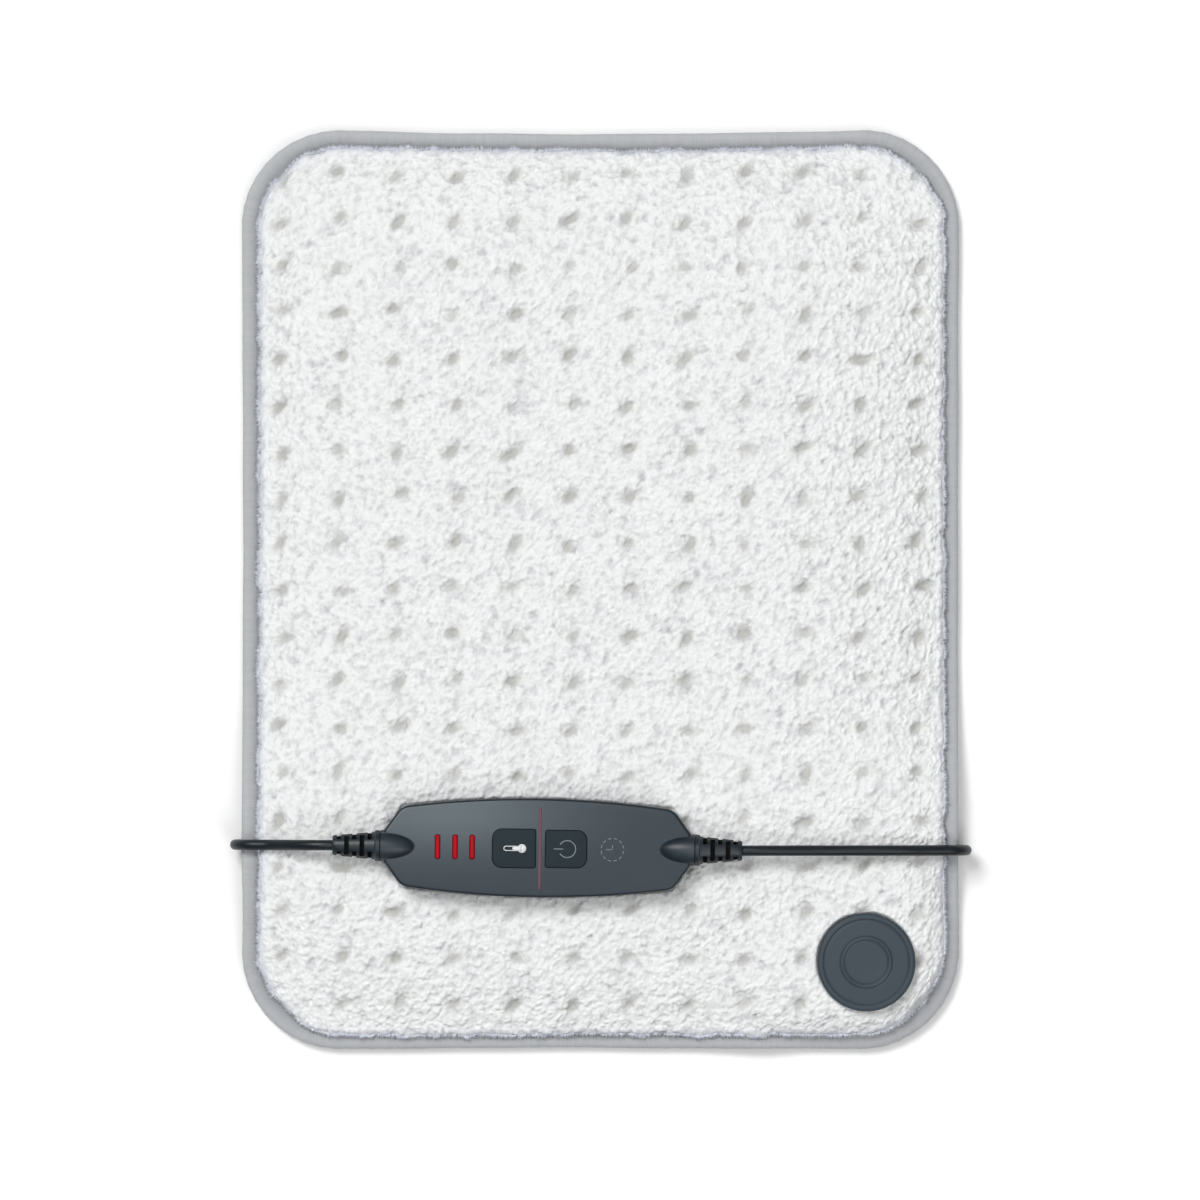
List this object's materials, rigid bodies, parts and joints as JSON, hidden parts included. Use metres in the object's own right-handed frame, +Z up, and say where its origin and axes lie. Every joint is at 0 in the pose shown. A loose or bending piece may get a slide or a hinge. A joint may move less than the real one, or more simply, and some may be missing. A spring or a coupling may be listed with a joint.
{
  "type": "heating pad with controller",
  "caption": "Rectangular plush electric heating pad with a bound edge and rounded corners, a corded hand controller with sprung buttons and light bars, a round connector and a mains lead.",
  "frame": {"origin": "on the surface that the pad lies on, under the middle of the pad", "axes": "+Z up out of the plush face, +Y along the pad towards the edge away from the controller, +X across it to the right"},
  "size_m": [0.3226, 0.4, 0.0408],
  "materials": {
    "plush": "white sherpa pile",
    "felt": "needled white felt",
    "binding": "grey ribbed woven tape",
    "case": "slate grey, fine satin texture",
    "button": "dark slate, soft touch",
    "light": "red translucent, unlit",
    "cord": "black-grey satin",
    "board": "green lacquered laminate",
    "component": "black moulding compound",
    "blue_sleeve": "blue sleeve",
    "brown_sleeve": "brown sleeve",
    "fuse_tube": "off-white tube",
    "diode": "cream lens",
    "terminal": "green moulding",
    "copper": "lacquered resistance wire",
    "steel": "plated",
    "brass": "stamped"
  },
  "bodies": {
    "pad": {"rear_cover": "plush", "rear_padding": "felt", "heating_carrier": "felt", "overheat_cutout": "component", "front_padding": "felt", "heating_wire": "copper", "front_cover": "plush", "edge_binding": "binding", "connector_disc": "case", "connector_base": "case", "connector_screw_1": "steel", "connector_screw_2": "steel", "connector_screw_3": "steel", "contact_blade_1": "brass", "contact_blade_2": "brass", "top_shell": "case", "bottom_shell": "case", "case_screw_1": "steel", "case_screw_2": "steel", "case_screw_3": "steel", "case_screw_4": "steel", "circuit_board": "board", "temperature_switch": "component", "power_switch": "component", "light_guide": "light", "light_diode_1": "diode", "light_diode_2": "diode", "light_diode_3": "diode", "microcontroller": "component", "triac": "component", "capacitor": "blue_sleeve", "fuse": "fuse_tube", "mains_terminal": "terminal", "mains_core_1": "blue_sleeve", "mains_core_2": "brown_sleeve", "pad_terminal": "terminal", "pad_core_1": "blue_sleeve", "pad_core_2": "brown_sleeve", "pad_boot": "cord", "mains_boot": "cord", "mains_lead": "cord", "mains_lead_coil": "cord", "mains_lead_tail": "cord", "pad_lead": "cord", "coil_tie": "cord", "plug_body": "cord", "plug_pin_1": "steel", "plug_pin_2": "steel"},
    "temperature_key": {"temperature_button": "button", "temperature_plunger": "component"},
    "power_key": {"power_button": "button", "power_plunger": "component"}
  },
  "joints": [
    {"name": "temperature_press", "type": "slide", "parent": "pad", "child": "temperature_key", "axis": [0, 0, -1], "range_m": [0, 0.0006], "stiffness_N_per_m": 2000},
    {"name": "power_press", "type": "slide", "parent": "pad", "child": "power_key", "axis": [0, 0, -1], "range_m": [0, 0.0006], "stiffness_N_per_m": 2000}
  ]
}
